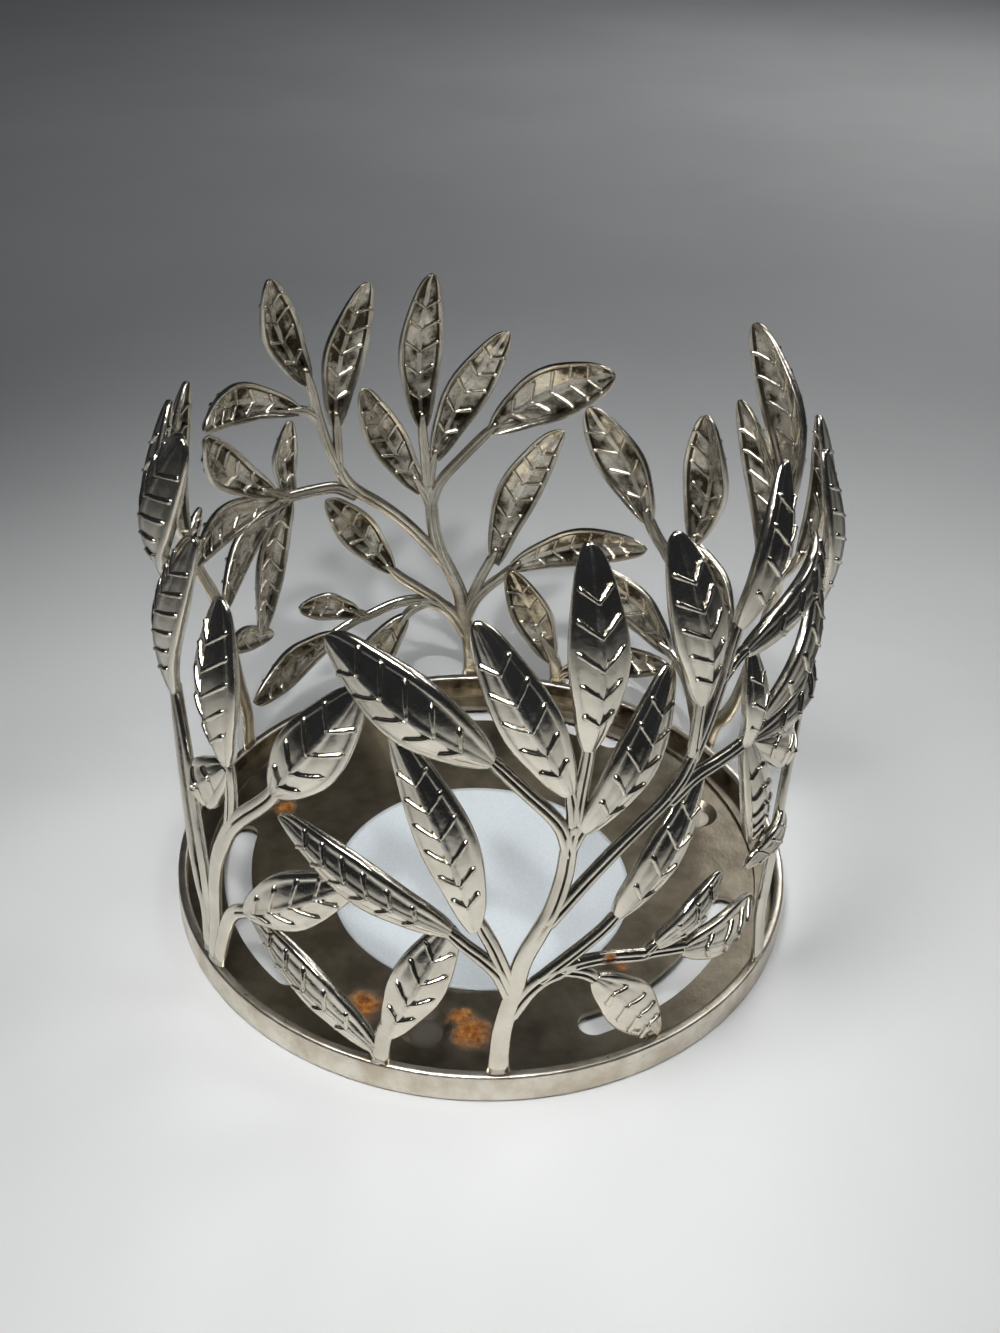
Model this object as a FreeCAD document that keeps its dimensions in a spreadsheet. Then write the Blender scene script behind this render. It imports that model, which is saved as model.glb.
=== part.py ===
"""Candle ring: a plated ring of leaf sprays standing on a low band, with a slotted base plate inside.

Lengths are in millimetres and angles in degrees. The origin is on the ring's axis at the level of
the table, +Z is up and -Y is the front. An azimuth counts from the front towards +X.
The ring has two like halves, turned by half a turn: half a is built from the tables, half b is its copy.
"""
import FreeCAD, Part
import math
import os

doc = FreeCAD.newDocument("candle_ring")

# Sizes
sheet = doc.addObject("Spreadsheet::Sheet", "sizes")
SIZES = (
    ("base_radius", 45.0, "outer radius of the wall at the table"),
    ("top_radius", 42.4, "outer radius of the wall at the highest leaf tip"),
    ("lattice_top", 81.0, "height of the highest leaf tip"),
    ("wall", 1.3, "thickness of leaves and twigs"),
    ("band_height", 4.3, "height of the plain band"),
    ("band_wall", 1.5, "thickness of the plain band at the table"),
    ("plate_thickness", 0.8, "thickness of the base plate"),
    ("foot_height", 1.0, "underside of the base plate above the table"),
    ("rim_width", 2.6, "width of the plate's raised rim, against the band"),
    ("rim_step_height", 0.4, "height of the plate's raised rim above the plate"),
    ("slot_inset", 4.5, "distance of a slot's middle line from the raised rim"),
    ("slot_width", 4.0, "width of a slot"),
    ("slot_sweep", 50.0, "angle between the centres of a slot's round ends"),
    ("slot_start", 25.0, "azimuth of the first slot's first end"),
    ("slot_count", 3, "number of slots, and of feet"),
    ("foot_inset", 5.7, "distance of a foot's centre from the raised rim"),
    ("foot_azimuth", 349.0, "azimuth of the first foot"),
    ("foot_top_radius", 3.9, "outer radius of a pressed foot under the plate"),
    ("foot_bottom_radius", 2.7, "outer radius of a pressed foot at the table"),
    ("label_radius", 21.8, "radius of the blank paper label"),
    ("label_thickness", 0.12, "thickness of the blank paper label"),
    ("label_forward", 6.0, "how far the label lies from the axis, towards the front"),
    ("twig_width", 2.2, "width of a usual twig"),
    ("leaf_bulge", 5.0, "how far a full leaf's edge stands off the line from base to tip"),
    ("rib_width", 0.9, "width of a leaf's midrib"),
    ("rib_height", 0.35, "how far a midrib stands out from its leaf"),
    ("spare", 5.0, "how far cutting and trimming shapes run past the wall"),
)
for row, (alias, value, note) in enumerate(SIZES, start=1):
    sheet.set("A%d" % row, alias)
    sheet.set("B%d" % row, str(value))
    sheet.set("C%d" % row, note)
    sheet.setAlias("B%d" % row, alias)
doc.recompute()


def size(alias):
    return float(sheet.get(alias))


AXIS = FreeCAD.Vector(0, 0, 1)
ORIGIN = FreeCAD.Vector(0, 0, 0)

# Twigs and leaves of one half
# A twig is its points (azimuth, height share of lattice_top) and its two end widths, as shares of
# twig_width. A twig that starts at height 0 is trimmed to stand on the band. A leaf is (base azimuth,
# base height share, tip azimuth, tip height share, bulge share on the left, bulge share on the right),
# seen from outside and looking from base to tip.
SPRAY_SHARES = {
    "crown_spray": {
        "twigs": (
            (((3.6, 0.0), (3.9, 0.111), (4.8, 0.172), (5.8, 0.217), (7.0, 0.278), (9.3, 0.33),
              (11.4, 0.375), (12.9, 0.433), (13.4, 0.478), (14.1, 0.528)), 1.25, 1.0),
            (((14.1, 0.528), (13.6, 0.565), (12.8, 0.6)), 0.9, 0.7),
            (((14.3, 0.515), (14.8, 0.58), (15.5, 0.64), (15.7, 0.68)), 0.85, 0.7),
            (((14.0, 0.49), (15.2, 0.515), (17.2, 0.545)), 0.85, 0.7),
        ),
        "leaves": (
            (12.9, 0.585, -2.2, 0.85, 0.59, 0.76),
            (15.6, 0.655, 14.0, 0.961, 0.53, 0.82),
            (15.7, 0.515, 29.3, 0.756, 0.54, 0.71),
        ),
    },
    "tall_spray": {
        "twigs": (
            (((-52.8, 0.0), (-53.9, 0.111), (-54.0, 0.167), (-53.5, 0.228), (-52.0, 0.283), (-49.5, 0.333),
              (-46.8, 0.378), (-43.0, 0.422), (-39.0, 0.461), (-36.0, 0.494), (-34.3, 0.525)), 1.35, 1.0),
            (((-47.3, 0.37), (-46.3, 0.43), (-46.3, 0.48), (-46.9, 0.515)), 1.0, 0.8),
            (((-46.4, 0.5), (-47.8, 0.493), (-50.5, 0.48)), 0.7, 0.6),
        ),
        "leaves": (
            (-35.2, 0.505, -20.2, 0.719, 0.74, 0.92),
            (-46.8, 0.5, -48.6, 0.772, 0.87, 0.85),
            (-46.8, 0.495, -61.3, 0.368, 0.78, 0.57),
        ),
    },
    "cradle_spray": {
        "twigs": (
            (((5.6, 0.2), (3.4, 0.253), (0.5, 0.287), (-2.5, 0.313), (-6.0, 0.347)), 1.0, 0.8),
            (((5.6, 0.22), (2.6, 0.30), (0.6, 0.342), (-1.0, 0.375)), 0.9, 0.8),
        ),
        "leaves": (
            (-0.8, 0.344, -15.0, 0.661, 0.32, 1.07),
            (-4.6, 0.337, -36.0, 0.45, 0.47, 0.85),
        ),
    },
    "arch_leaf": {
        "twigs": (
            (((13.6, 0.475), (11.6, 0.532), (6.0, 0.594), (0.0, 0.655)), 0.9, 0.8),
        ),
        "leaves": (
            (1.0, 0.643, -25.5, 0.792, 0.73, 1.03),
        ),
    },
    "high_spray": {
        "twigs": (
            (((10.8, 0.35), (16.0, 0.414), (20.5, 0.461), (25.0, 0.5), (30.0, 0.538), (33.0, 0.572),
              (34.6, 0.608)), 0.95, 0.9),
            (((34.2, 0.59), (34.5, 0.65), (34.9, 0.71)), 0.75, 0.7),
            (((34.2, 0.59), (36.8, 0.65), (38.9, 0.711), (40.3, 0.767), (41.8, 0.81)), 0.8, 0.7),
            (((38.9, 0.708), (42.0, 0.733), (46.0, 0.745)), 0.65, 0.6),
        ),
        "leaves": (
            (35.0, 0.685, 28.0, 0.956, 0.63, 0.72),
            (41.4, 0.785, 51.5, 1.0, 0.64, 0.65),
            (43.8, 0.737, 73.5, 0.8, 0.94, 0.27),
        ),
    },
    "fan_spray": {
        "twigs": (
            (((30.5, 0.53), (35.0, 0.556), (40.0, 0.564), (45.0, 0.569), (49.0, 0.574)), 0.95, 0.9),
            (((46.5, 0.57), (50.0, 0.59), (53.5, 0.609)), 0.7, 0.6),
        ),
        "leaves": (
            (46.5, 0.565, 46.6, 0.728, 0.41, 0.45),
            (51.0, 0.592, 73.3, 0.785, 0.49, 0.75),
            (48.0, 0.568, 81.0, 0.583, 0.62, 0.6),
            (47.0, 0.572, 57.5, 0.315, 0.45, 0.74),
            (48.0, 0.568, 70.0, 0.425, 0.6, 0.5),
        ),
    },
    "low_spray": {
        "twigs": (
            (((5.4, 0.17), (7.6, 0.21), (10.0, 0.237), (12.8, 0.251), (15.5, 0.26)), 1.1, 1.2),
            (((10.0, 0.24), (13.0, 0.266), (17.0, 0.297), (20.5, 0.325), (23.4, 0.356)), 0.9, 0.8),
            (((13.5, 0.258), (18.0, 0.264), (22.5, 0.259), (27.5, 0.246), (30.0, 0.243), (34.0, 0.231),
              (38.5, 0.215)), 0.9, 0.8),
            (((28.0, 0.244), (32.0, 0.272)), 0.7, 0.6),
            (((14.0, 0.254), (17.5, 0.24), (20.5, 0.212)), 0.9, 0.8),
        ),
        "leaves": (
            (22.4, 0.343, 38.3, 0.543, 0.71, 0.57),
            (30.3, 0.257, 45.5, 0.322, 0.54, 0.42),
            (36.0, 0.221, 60.5, 0.17, 0.6, 0.8),
            (19.2, 0.226, 32.7, 0.045, 0.83, 0.58),
        ),
    },
    "corner_spray": {
        "twigs": (
            (((59.3, 0.0), (61.3, 0.139), (63.3, 0.222), (65.3, 0.306), (67.5, 0.389), (71.0, 0.467),
              (75.5, 0.533), (79.5, 0.594), (81.5, 0.645)), 1.2, 0.9),
        ),
        "leaves": (
            (66.4, 0.322, 52.8, 0.292, 0.4, 0.45),
            (79.5, 0.583, 74.6, 0.661, 0.3, 0.32),
            (81.4, 0.625, 80.0, 0.911, 0.7, 0.85),
        ),
    },
    "side_spray": {
        "twigs": (
            (((-53.0, 0.0), (-57.5, 0.125), (-61.0, 0.172), (-63.7, 0.222), (-65.7, 0.278), (-67.5, 0.333),
              (-69.5, 0.394), (-71.5, 0.456), (-73.3, 0.51), (-75.5, 0.578), (-76.3, 0.633), (-75.3, 0.689),
              (-74.0, 0.725)), 1.2, 0.8),
            (((-56.6, 0.12), (-57.6, 0.2), (-59.4, 0.272), (-60.9, 0.322), (-61.9, 0.367), (-63.2, 0.42),
              (-66.0, 0.475), (-69.0, 0.52)), 0.8, 0.8),
            (((-74.7, 0.56), (-80.0, 0.611), (-83.8, 0.655)), 0.7, 0.7),
        ),
        "leaves": (
            (-69.3, 0.505, -56.8, 0.83, 1.1, 0.55),
            (-74.8, 0.7, -59.0, 0.975, 1.05, 0.9),
            (-83.2, 0.638, -89.0, 0.922, 0.75, 0.8),
        ),
    },
    "fork_leaf": {
        "twigs": (
            (((-53.1, 0.0), (-51.2, 0.122), (-49.3, 0.172), (-46.8, 0.206), (-43.8, 0.228), (-40.5, 0.243)),
             1.15, 0.85),
        ),
        "leaves": (
            (-43.2, 0.232, -21.3, 0.376, 0.86, 0.71),
        ),
    },
    "band_sprig": {
        "twigs": (
            (((-16.6, 0.0), (-15.4, 0.1), (-14.2, 0.14), (-12.2, 0.175)), 1.2, 0.8),
            (((-15.6, 0.055), (-17.5, 0.085), (-20.5, 0.105)), 0.8, 0.7),
        ),
        "leaves": (
            (-14.6, 0.111, -4.3, 0.335, 0.75, 0.69),
            (-16.8, 0.08, -45.0, 0.206, 0.35, 0.88),
        ),
    },
}

# Where sprays meet, the later one of this list is trimmed to lie against the earlier ones
TRIM_ORDER = ("crown_spray", "tall_spray", "corner_spray", "cradle_spray", "arch_leaf", "high_spray",
              "fan_spray", "low_spray", "side_spray", "fork_leaf", "band_sprig")


def wall_radius(height):
    """Outer radius of the wall at a height: it leans in a little towards the top."""
    lean = (size("top_radius") - size("base_radius")) / size("lattice_top")
    return size("base_radius") + lean * height


def ring_shell(low, high, inset, outset):
    """A ring that follows the wall between two heights, from inset inside it to outset outside it."""
    corners = (
        FreeCAD.Vector(wall_radius(low) - inset, 0, low),
        FreeCAD.Vector(wall_radius(low) + outset, 0, low),
        FreeCAD.Vector(wall_radius(high) + outset, 0, high),
        FreeCAD.Vector(wall_radius(high) - inset, 0, high),
    )
    profile = Part.Face(Part.makePolygon(corners + corners[:1]))
    return profile.revolve(ORIGIN, AXIS, 360)


def flat_point(place, centre):
    """A place on the wall, seen straight on from the azimuth centre."""
    azimuth, height_share = place
    height = height_share * size("lattice_top")
    across = wall_radius(height) * math.sin(math.radians(azimuth - centre))
    return FreeCAD.Vector(across, 0, height)


def side_of(direction):
    """The direction to the left of another one, seen from outside the ring."""
    return FreeCAD.Vector(-direction.z, 0, direction.x)


def press_out(edges, shell, centre):
    """Cuts an outline out of the wall's shell and turns it to its azimuth."""
    face = Part.Face(Part.Wire(edges))
    reach = size("base_radius") + size("spare")
    piece = face.extrude(FreeCAD.Vector(0, -reach, 0)).common(shell)
    piece.rotate(ORIGIN, AXIS, centre)
    return piece


def curve_through(points):
    if len(points) == 2:
        return Part.LineSegment(points[0], points[1]).toShape()
    curve = Part.BSplineCurve()
    curve.interpolate(points)
    return curve.toShape()


def twig(places, first_width_share, last_width_share, shell):
    """A flat twig along its places, with its width changing evenly from end to end."""
    centre = sum(azimuth for azimuth, _ in places) / len(places)
    points = [flat_point(place, centre) for place in places]
    left = []
    right = []
    for i, point in enumerate(points):
        before = points[max(i - 1, 0)]
        after = points[min(i + 1, len(points) - 1)]
        sideways = side_of((after - before).normalize())
        along_share = i / (len(points) - 1)
        width_share = first_width_share + (last_width_share - first_width_share) * along_share
        half = width_share * size("twig_width") / 2
        left.append(point + sideways * half)
        right.append(point - sideways * half)
    edges = [
        curve_through(left),
        Part.LineSegment(left[-1], right[-1]).toShape(),
        curve_through(right[::-1]),
        Part.LineSegment(right[0], left[0]).toShape(),
    ]
    return press_out(edges, shell, centre)


def lens(base, tip, left_bulge, right_bulge):
    """Two curves from base to tip, each through a point beside the middle of the line between them."""
    middle = (base + tip) / 2
    sideways = side_of((tip - base).normalize())
    return [
        curve_through([base, middle + sideways * left_bulge, tip]),
        curve_through([tip, middle - sideways * right_bulge, base]),
    ]


def leaf(row, leaf_shell, rib_shell):
    """A leaf of the wall's thickness, with a raised midrib along its bent middle line."""
    base_azimuth, base_share, tip_azimuth, tip_share, left_share, right_share = row
    centre = (base_azimuth + tip_azimuth) / 2
    base = flat_point((base_azimuth, base_share), centre)
    tip = flat_point((tip_azimuth, tip_share), centre)
    left = left_share * size("leaf_bulge")
    right = right_share * size("leaf_bulge")
    blade = press_out(lens(base, tip, left, right), leaf_shell, centre)
    rib_half = size("rib_width") / 2
    middle_left = (left - right) / 2
    rib = press_out(lens(base, tip, middle_left + rib_half, rib_half - middle_left), rib_shell, centre)
    return blade, rib


def largest_solid(shape):
    return max(shape.Solids, key=lambda solid: solid.Volume)


def spray(name, leaf_shell, rib_shell):
    """One spray: its twigs and leaves as a single casting."""
    table = SPRAY_SHARES[name]
    pieces = []
    for places, first_width_share, last_width_share in table["twigs"]:
        pieces.append(twig(places, first_width_share, last_width_share, leaf_shell))
    for row in table["leaves"]:
        pieces.extend(leaf(row, leaf_shell, rib_shell))
    return largest_solid(pieces[0].multiFuse(pieces[1:]))


def near(one, other):
    """Whether two shapes' boxes meet, so that only neighbours are trimmed."""
    return one.BoundBox.intersect(other.BoundBox)


def half_of_sprays():
    leaf_shell = ring_shell(size("band_height"), size("lattice_top") + size("spare"), size("wall"), 0)
    rib_shell = ring_shell(size("band_height"), size("lattice_top") + size("spare"),
                           size("wall"), size("rib_height"))
    done = {}
    for name in TRIM_ORDER:
        shape = spray(name, leaf_shell, rib_shell)
        neighbours = [other for other in done.values() if near(shape, other)]
        if neighbours:
            shape = largest_solid(shape.cut(neighbours))
        done[name] = shape
    return done


# Radii that several pieces share
PLATE_RADIUS = "(sizes.base_radius - sizes.band_wall)"
STEP_RADIUS = "(%s - sizes.rim_width)" % PLATE_RADIUS
SLOT_RADIUS = "(%s - sizes.slot_inset)" % STEP_RADIUS
FOOT_RADIUS = "(%s - sizes.foot_inset)" % STEP_RADIUS


# Pieces made of bound primitives
def bound(kind, name, expressions):
    """A primitive whose properties follow the sheet."""
    item = doc.addObject(kind, name)
    for prop, expression in expressions.items():
        item.setExpression(prop, expression)
    return item


def cylinder(name, radius, height, low, across="0 mm", along="0 mm"):
    return bound("Part::Cylinder", name, {
        "Radius": radius,
        "Height": height,
        "Placement.Base.x": across,
        "Placement.Base.y": along,
        "Placement.Base.z": low,
    })


def cone(name, low_radius, high_radius, height, low, across="0 mm", along="0 mm"):
    return bound("Part::Cone", name, {
        "Radius1": low_radius,
        "Radius2": high_radius,
        "Height": height,
        "Placement.Base.x": across,
        "Placement.Base.y": along,
        "Placement.Base.z": low,
    })


def cut(name, base, tools):
    """The base with every tool taken away."""
    tool = tools[0]
    if len(tools) > 1:
        tool = fuse(name + "_tools", tools)
    item = doc.addObject("Part::Cut", name)
    item.Base = base
    item.Tool = tool
    return item


def fuse(name, items):
    item = doc.addObject("Part::MultiFuse", name)
    item.Shapes = items
    return item


def around(radius, azimuth):
    """Expressions for the place at a radius and an azimuth."""
    across = "%s * sin(%s)" % (radius, azimuth)
    along = "-%s * cos(%s)" % (radius, azimuth)
    return across, along


def base_band():
    """The plain band: leaning outside like the wall, straight inside."""
    high_radius = ("sizes.base_radius + (sizes.top_radius - sizes.base_radius)"
                   " * sizes.band_height / sizes.lattice_top")
    outside = cone("band_outside", "sizes.base_radius", high_radius, "sizes.band_height", "0 mm")
    inside = cylinder("band_inside", PLATE_RADIUS, "sizes.band_height + 2 * sizes.spare", "-sizes.spare")
    return cut("base_band", outside, [inside])


def slot_cutter(i):
    """One curved slot with round ends, through the plate."""
    first = "(sizes.slot_start + %d * 360 / sizes.slot_count)" % i
    last = "(sizes.slot_start + sizes.slot_sweep + %d * 360 / sizes.slot_count)" % i
    height = "sizes.foot_height + 2 * sizes.spare"
    outer = cylinder("slot_outer_%d" % i, SLOT_RADIUS + " + sizes.slot_width / 2", height, "-sizes.spare")
    outer.setExpression("Angle", "sizes.slot_sweep")
    outer.setExpression("Placement.Rotation.Angle", first + " - 90")
    inner = cylinder("slot_inner_%d" % i, SLOT_RADIUS + " - sizes.slot_width / 2",
                     "sizes.foot_height + 4 * sizes.spare", "-2 * sizes.spare")
    sector = cut("slot_sector_%d" % i, outer, [inner])
    ends = []
    for end, azimuth in (("first", first), ("last", last)):
        across, along = around(SLOT_RADIUS, azimuth)
        ends.append(cylinder("slot_%s_end_%d" % (end, i), "sizes.slot_width / 2", height, "-sizes.spare",
                             across, along))
    return fuse("slot_%d" % i, [sector] + ends)


def base_plate():
    """The base plate: a raised rim against the band, curved slots, and feet pressed down to the table."""
    top = "sizes.foot_height + sizes.plate_thickness"
    disc = cylinder("plate_disc", PLATE_RADIUS, "sizes.plate_thickness + sizes.rim_step_height",
                    "sizes.foot_height")
    recess = cylinder("plate_recess", STEP_RADIUS, "sizes.spare", top)
    feet = []
    dimples = []
    slots = []
    for i in range(int(size("slot_count"))):
        azimuth = "(sizes.foot_azimuth + %d * 360 / sizes.slot_count)" % i
        across, along = around(FOOT_RADIUS, azimuth)
        feet.append(cone("foot_%d" % i, "sizes.foot_bottom_radius", "sizes.foot_top_radius",
                         "sizes.foot_height", "0 mm", across, along))
        dimples.append(cone("dimple_%d" % i, "sizes.foot_bottom_radius - sizes.plate_thickness / 2",
                            "sizes.foot_top_radius - sizes.plate_thickness / 2",
                            "sizes.foot_height", "sizes.plate_thickness", across, along))
        slots.append(slot_cutter(i))
    dished = cut("plate_dished", disc, [recess])
    footed = fuse("plate_footed", [dished] + feet)
    return cut("base_plate", footed, dimples + slots)


def paper_label():
    """A blank round paper label, stuck to the plate and off its centre."""
    return cylinder("paper_label", "sizes.label_radius", "sizes.label_thickness",
                    "sizes.foot_height + sizes.plate_thickness", "0 mm", "-sizes.label_forward")


def add_feature(name, shape, turn):
    """A piece with its own shape, turned about the ring's axis."""
    item = doc.addObject("Part::Feature", name)
    item.Shape = shape
    item.Placement = FreeCAD.Placement(ORIGIN, FreeCAD.Rotation(AXIS, turn))
    return item


def build():
    pieces = [base_band(), base_plate(), paper_label()]
    for name, shape in half_of_sprays().items():
        pieces.append(add_feature(name + "_a", shape, 0))
        pieces.append(add_feature(name + "_b", shape, 180))
    for piece in pieces:
        piece.Label = piece.Name
    doc.recompute()
    return pieces


def check(pieces):
    for item in doc.Objects:
        if "Invalid" in item.State or "Error" in item.State:
            raise RuntimeError("%s did not build: %s" % (item.Label, item.State))
    for piece in pieces:
        if piece.Shape.isNull() or not piece.Shape.isValid():
            raise RuntimeError("%s has no valid shape" % piece.Label)
        if len(piece.Shape.Solids) != 1:
            raise RuntimeError("%s is not one solid" % piece.Label)


def write(pieces):
    os.makedirs("parts", exist_ok=True)
    for piece in pieces:
        piece.Shape.exportStep("parts/%s.step" % piece.Label)
        print("%-16s %9.1f cubic mm" % (piece.Label, piece.Shape.Volume))


PIECES = build()
check(PIECES)
write(PIECES)
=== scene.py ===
"""Candle ring: the dressed model of a plated ring of leaf sprays on a band, with a slotted base plate.

Everything is in metres, in the frame of the solids: the ring's axis is +Z, the table is at height 0 and
-Y is the front. An azimuth counts in degrees from the front towards +X.
"""
import math

import bpy
from mathutils import Matrix, Vector


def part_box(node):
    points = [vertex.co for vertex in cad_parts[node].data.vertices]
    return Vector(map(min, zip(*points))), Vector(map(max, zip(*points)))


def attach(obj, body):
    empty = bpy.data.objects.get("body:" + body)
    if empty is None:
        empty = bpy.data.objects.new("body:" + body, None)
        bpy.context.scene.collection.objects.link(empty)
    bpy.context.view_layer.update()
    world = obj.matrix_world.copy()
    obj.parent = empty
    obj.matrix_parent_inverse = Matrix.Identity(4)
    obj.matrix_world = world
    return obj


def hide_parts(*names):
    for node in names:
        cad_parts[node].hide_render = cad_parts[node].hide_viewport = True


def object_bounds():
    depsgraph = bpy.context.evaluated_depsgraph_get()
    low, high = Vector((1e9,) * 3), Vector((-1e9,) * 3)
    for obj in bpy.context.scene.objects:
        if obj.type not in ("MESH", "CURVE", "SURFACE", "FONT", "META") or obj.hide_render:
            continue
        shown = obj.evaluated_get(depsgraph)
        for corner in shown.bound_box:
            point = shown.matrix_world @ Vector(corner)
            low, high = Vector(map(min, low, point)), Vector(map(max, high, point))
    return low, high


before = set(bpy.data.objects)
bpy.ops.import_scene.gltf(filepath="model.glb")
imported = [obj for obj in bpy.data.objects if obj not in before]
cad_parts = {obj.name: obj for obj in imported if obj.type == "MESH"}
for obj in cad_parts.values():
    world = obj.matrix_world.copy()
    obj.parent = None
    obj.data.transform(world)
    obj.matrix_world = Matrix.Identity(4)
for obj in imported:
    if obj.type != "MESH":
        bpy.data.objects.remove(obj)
CAD_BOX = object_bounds()

MM = 0.001

# Read from the solids
BAND_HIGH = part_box("base_band")[1]
PLATE_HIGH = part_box("base_plate")[1]
LABEL_LOW, LABEL_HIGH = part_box("paper_label")
LATTICE_TOP = CAD_BOX[1][2]
BASE_RADIUS = BAND_HIGH[0]
BAND_TOP = BAND_HIGH[2]
PLATE_RADIUS = PLATE_HIGH[0]

# The lattice's wall
TOP_RADIUS = 42.4 * MM
WALL = 1.3 * MM
LATTICE_INSET = 0.7 * MM
INSET_REACH = 8.0 * MM
SIDE_CLEARANCE = 0.02 * MM
TIP_CLEARANCE = 0.05 * MM
BAND_OVERLAP = 0.2 * MM

# Twigs
TWIG_WIDTH = 2.2 * MM
TWIG_GROOVE = 0.45 * MM
INNER_GROOVE_SHARE = 0.5
GROOVE_HALF_SHARE = 0.17
# Least groove depth where a twig's groove takes the near-black colour: patina and painted shade
DARK_GROOVE_DEPTH = 0.25 * MM
ROOTED_GROOVE_START = 0.4
ROOTED_GROOVE_FULL = 0.7
TWIG_END = 0.5 * MM
TWIG_TAPER = 2.4 * MM
TAPERED_WIDTH_SHARE = 0.6
FOOT_DEPTH = 0.3 * MM
FOOT_FLARE = 2.5 * MM
FOOT_WIDTH_SHARE = 1.2
TWIG_STEPS = 7
TWIG_ACROSS_SHARES = (-1, -0.93, -0.78, -0.5, -0.26, -0.12, 0, 0.12, 0.26, 0.5, 0.78, 0.93, 1)
SECTION_POWER = 3
SECTION_ROUNDNESS = 0.55
# Each ring of a twig's round end: share of the section's size, and share of TWIG_END
TWIG_CAP = ((0.75, 0.55), (0.35, 0.95))

# Leaves
LEAF_BULGE = 5.0 * MM
LEAF_ROWS = 36
RIM_WIDTH = 0.7 * MM
RIM_SLOPE = 0.28 * MM
# A panel's depth below the rim, its pillow and its swell between two veins
OUTER_PANEL = (0.14 * MM, 0.05 * MM, 0.07 * MM)
INNER_PANEL = (0.34 * MM, 0.06 * MM, 0.34 * MM)
PANEL_SHARES = (0, 0.2, 0.5, 0.8, 1)
LEAST_PANEL = 0.01 * MM
RIB_HALF = 0.36 * MM
RIB_RISE = 0.36 * MM
NARROW_HALF = 2.3 * MM
FULL_LENGTH = 20.0 * MM
LENGTHWISE_DOME = 1.7 * MM
LEAST_DOME = 0.15 * MM
TIP_LEAN = 1.45 * MM
LEAN_START = 0.35
TIP_START = 0.55
TIP_BLUNTNESS = 0.46
ROOF_SLOPE = 0.31
ROOF_MIDDLE_SHARE = 0.42
ROOF_POWER = 1.45
EDGE_ROUND = 0.18 * MM
BASE_HALF_SHARE = 0.36
BASE_REACH = 0.3
LEAST_HALF = 0.02 * MM
INNER_SHARE_AT_BASE = 0.85
INNER_SHARE_AT_TIP = 0.45
THIN_START = 0.6

# Veins
VEIN_PITCH = 4.2 * MM
LEAST_VEINS = 3
VEIN_ZONE_START = 0.13
VEIN_ZONE = 0.74
FIRST_VEIN = 0.3
VEIN_HALF_AT_RIB = 0.24 * MM
VEIN_HALF_AT_RIM = 0.42 * MM
VEIN_RISE = 0.42 * MM
VEIN_REACH_SHARE = 0.80
VEIN_SWEEP = 0.78
VEIN_STEPS = 9
VEIN_SIDES = 10
VEIN_TIP_LIMIT = 0.96
VEIN_RIM_SHARE = 0.8
VEIN_ROUND_START = 0.86
LEAST_ROUND = 0.02
VEIN_LOW_SHARE = 0.55
VEIN_FULL_AT = 0.3

# Places of the materials on a spray
ON_FACE, ON_BACK, ON_EDGE, IN_GROOVE = range(4)
# Strips of a leaf's inner face, from the edge to the midrib: rim, crease, panel, rib
# The crease strips take the near-black groove colour: painted shade where the rim meets the sunk panel
INNER_STRIPS = (ON_EDGE,) * 3 + (IN_GROOVE,) * 2 + (ON_BACK,) * 4 + (ON_EDGE,)

# Band and label
LATHE_STEPS = 256
BAND_ROUND = 0.35 * MM
# Middle point of the band's round edges, as a share of BAND_ROUND
BAND_ROUND_SHARE = 0.3
LABEL_RINGS = 24
LABEL_SIDES = 96
LABEL_LEAST_RADIUS = 0.01 * MM
LABEL_GAP = 0.01 * MM
LABEL_LIFT = 0.1 * MM
LABEL_WAVE = 0.10 * MM
LABEL_WAVES = 3
LABEL_WAVE_START = 1.2

# Rust on the twigs: azimuth, height share of LATTICE_TOP and reach
RUSTY_TWIGS = ((21.5, 0.262, 1.1 * MM),)
# Rust on the plate: azimuth, share of BASE_RADIUS and reach
RUSTY_PLATE = (
    (334, 0.765, 3.0 * MM),
    (359, 0.78, 3.4 * MM),
    (356, 0.72, 2.0 * MM),
    (253, 0.72, 2.2 * MM),
    (42, 0.66, 1.2 * MM),
)
RUST_HEIGHT = PLATE_HIGH[2] - 0.4 * MM
RUST_RAGGEDNESS = 1.6
RUST_FADE_START = 1.95
RUST_FADE_END = 1.10

# Painted highlights on the plate's feet: a lighter colour around each foot's dome
FEET_AZIMUTHS = (349, 349 + 120, 349 + 240)
FEET_SHARE = 0.782
FEET_HEIGHT = 0.9 * MM
FOOT_HIGHLIGHT_REACH = 3.2 * MM
FOOT_HIGHLIGHT_CORE_SHARE = 0.35

# Noise patterns: scale per metre, detail and roughness
STAIN = (180, 5, 0.6)
GLOSS = (700, 6, 0.6)
WAVES = (260, 2, 0.55)
PITS = (2300, 4, 0.65)
RUST_EDGE = (600, 5, 0.65)
RUST_GRAIN = (900, 5, 0.7)
FIBRE = (2400, 6, 0.7)
CLOUDS = (9, 4, 0.55)
WAVE_HEIGHT = 0.4 * MM
PIT_HEIGHT = 0.08 * MM
FIBRE_HEIGHT = 0.03 * MM

# Where the stains start and end in their noise
STAIN_STOPS = (0.35, 0.62)
TARNISH_STOPS = (0.42, 0.57)

# Paper and floor
FIBRE_STRENGTH = 0.5
PAPER_ROUGHNESS = 0.55
PAPER_COAT = 0.3
PAPER_COAT_ROUGHNESS = 0.25
FLOOR_ROUGHNESS = 0.5

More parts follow.
